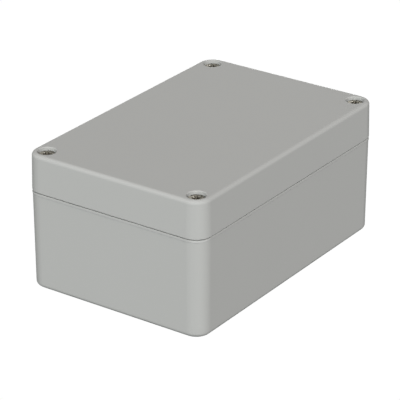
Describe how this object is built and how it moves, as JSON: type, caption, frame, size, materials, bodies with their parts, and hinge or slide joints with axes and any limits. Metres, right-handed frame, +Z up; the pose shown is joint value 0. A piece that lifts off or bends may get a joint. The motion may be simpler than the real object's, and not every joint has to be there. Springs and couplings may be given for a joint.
{
  "type": "polycarbonate enclosure",
  "caption": "Rectangular sealed plastic enclosure: drafted base and lift-off lid with rounded edges, captive corner screws, gasket groove and board bosses.",
  "frame": {"origin": "centre of the base's underside", "axes": "+X along the length, +Y along the width, +Z up from the base to the lid"},
  "size_m": [0.12, 0.08, 0.055],
  "materials": {
    "housing": "light grey moulded polycarbonate, fine satin texture",
    "gasket": "soft black sealing strip",
    "screw": "stainless steel, turned",
    "retainer": "natural polyamide",
    "insert": "machined brass"
  },
  "bodies": {
    "base": {"base": "housing", "threaded_insert_1": "insert", "threaded_insert_2": "insert", "threaded_insert_3": "insert", "threaded_insert_4": "insert"},
    "lid": {"lid": "housing", "gasket": "gasket"},
    "retainer_1": {"screw_retainer_1": "retainer"},
    "screw_1": {"lid_screw_1": "screw"},
    "retainer_2": {"screw_retainer_2": "retainer"},
    "screw_2": {"lid_screw_2": "screw"},
    "retainer_3": {"screw_retainer_3": "retainer"},
    "screw_3": {"lid_screw_3": "screw"},
    "retainer_4": {"screw_retainer_4": "retainer"},
    "screw_4": {"lid_screw_4": "screw"}
  },
  "joints": [
    {"name": "lid_lift", "type": "slide", "parent": "base", "child": "lid", "axis": [0, 0, 1], "range_m": [0, 0.06]},
    {"name": "screw_1_rise", "type": "slide", "parent": "lid", "child": "retainer_1", "axis": [0, 0, 1], "range_m": [0, 0.007]},
    {"name": "screw_1_turn", "type": "hinge", "parent": "retainer_1", "child": "screw_1", "pos_m": [0.0539, 0.0339, 0.0513], "axis": [0, 0, 1], "range_deg": [0, 3600]},
    {"name": "screw_2_rise", "type": "slide", "parent": "lid", "child": "retainer_2", "axis": [0, 0, 1], "range_m": [0, 0.007]},
    {"name": "screw_2_turn", "type": "hinge", "parent": "retainer_2", "child": "screw_2", "pos_m": [-0.0539, 0.0339, 0.0513], "axis": [0, 0, 1], "range_deg": [0, 3600]},
    {"name": "screw_3_rise", "type": "slide", "parent": "lid", "child": "retainer_3", "axis": [0, 0, 1], "range_m": [0, 0.007]},
    {"name": "screw_3_turn", "type": "hinge", "parent": "retainer_3", "child": "screw_3", "pos_m": [-0.0539, -0.0339, 0.0513], "axis": [0, 0, 1], "range_deg": [0, 3600]},
    {"name": "screw_4_rise", "type": "slide", "parent": "lid", "child": "retainer_4", "axis": [0, 0, 1], "range_m": [0, 0.007]},
    {"name": "screw_4_turn", "type": "hinge", "parent": "retainer_4", "child": "screw_4", "pos_m": [0.0539, -0.0339, 0.0513], "axis": [0, 0, 1], "range_deg": [0, 3600]}
  ],
  "couplings": [
    {"joint": "screw_1_turn", "follows": "screw_1_rise", "rad_per_m": 8976},
    {"joint": "screw_2_turn", "follows": "screw_2_rise", "rad_per_m": 8976},
    {"joint": "screw_3_turn", "follows": "screw_3_rise", "rad_per_m": 8976},
    {"joint": "screw_4_turn", "follows": "screw_4_rise", "rad_per_m": 8976}
  ]
}
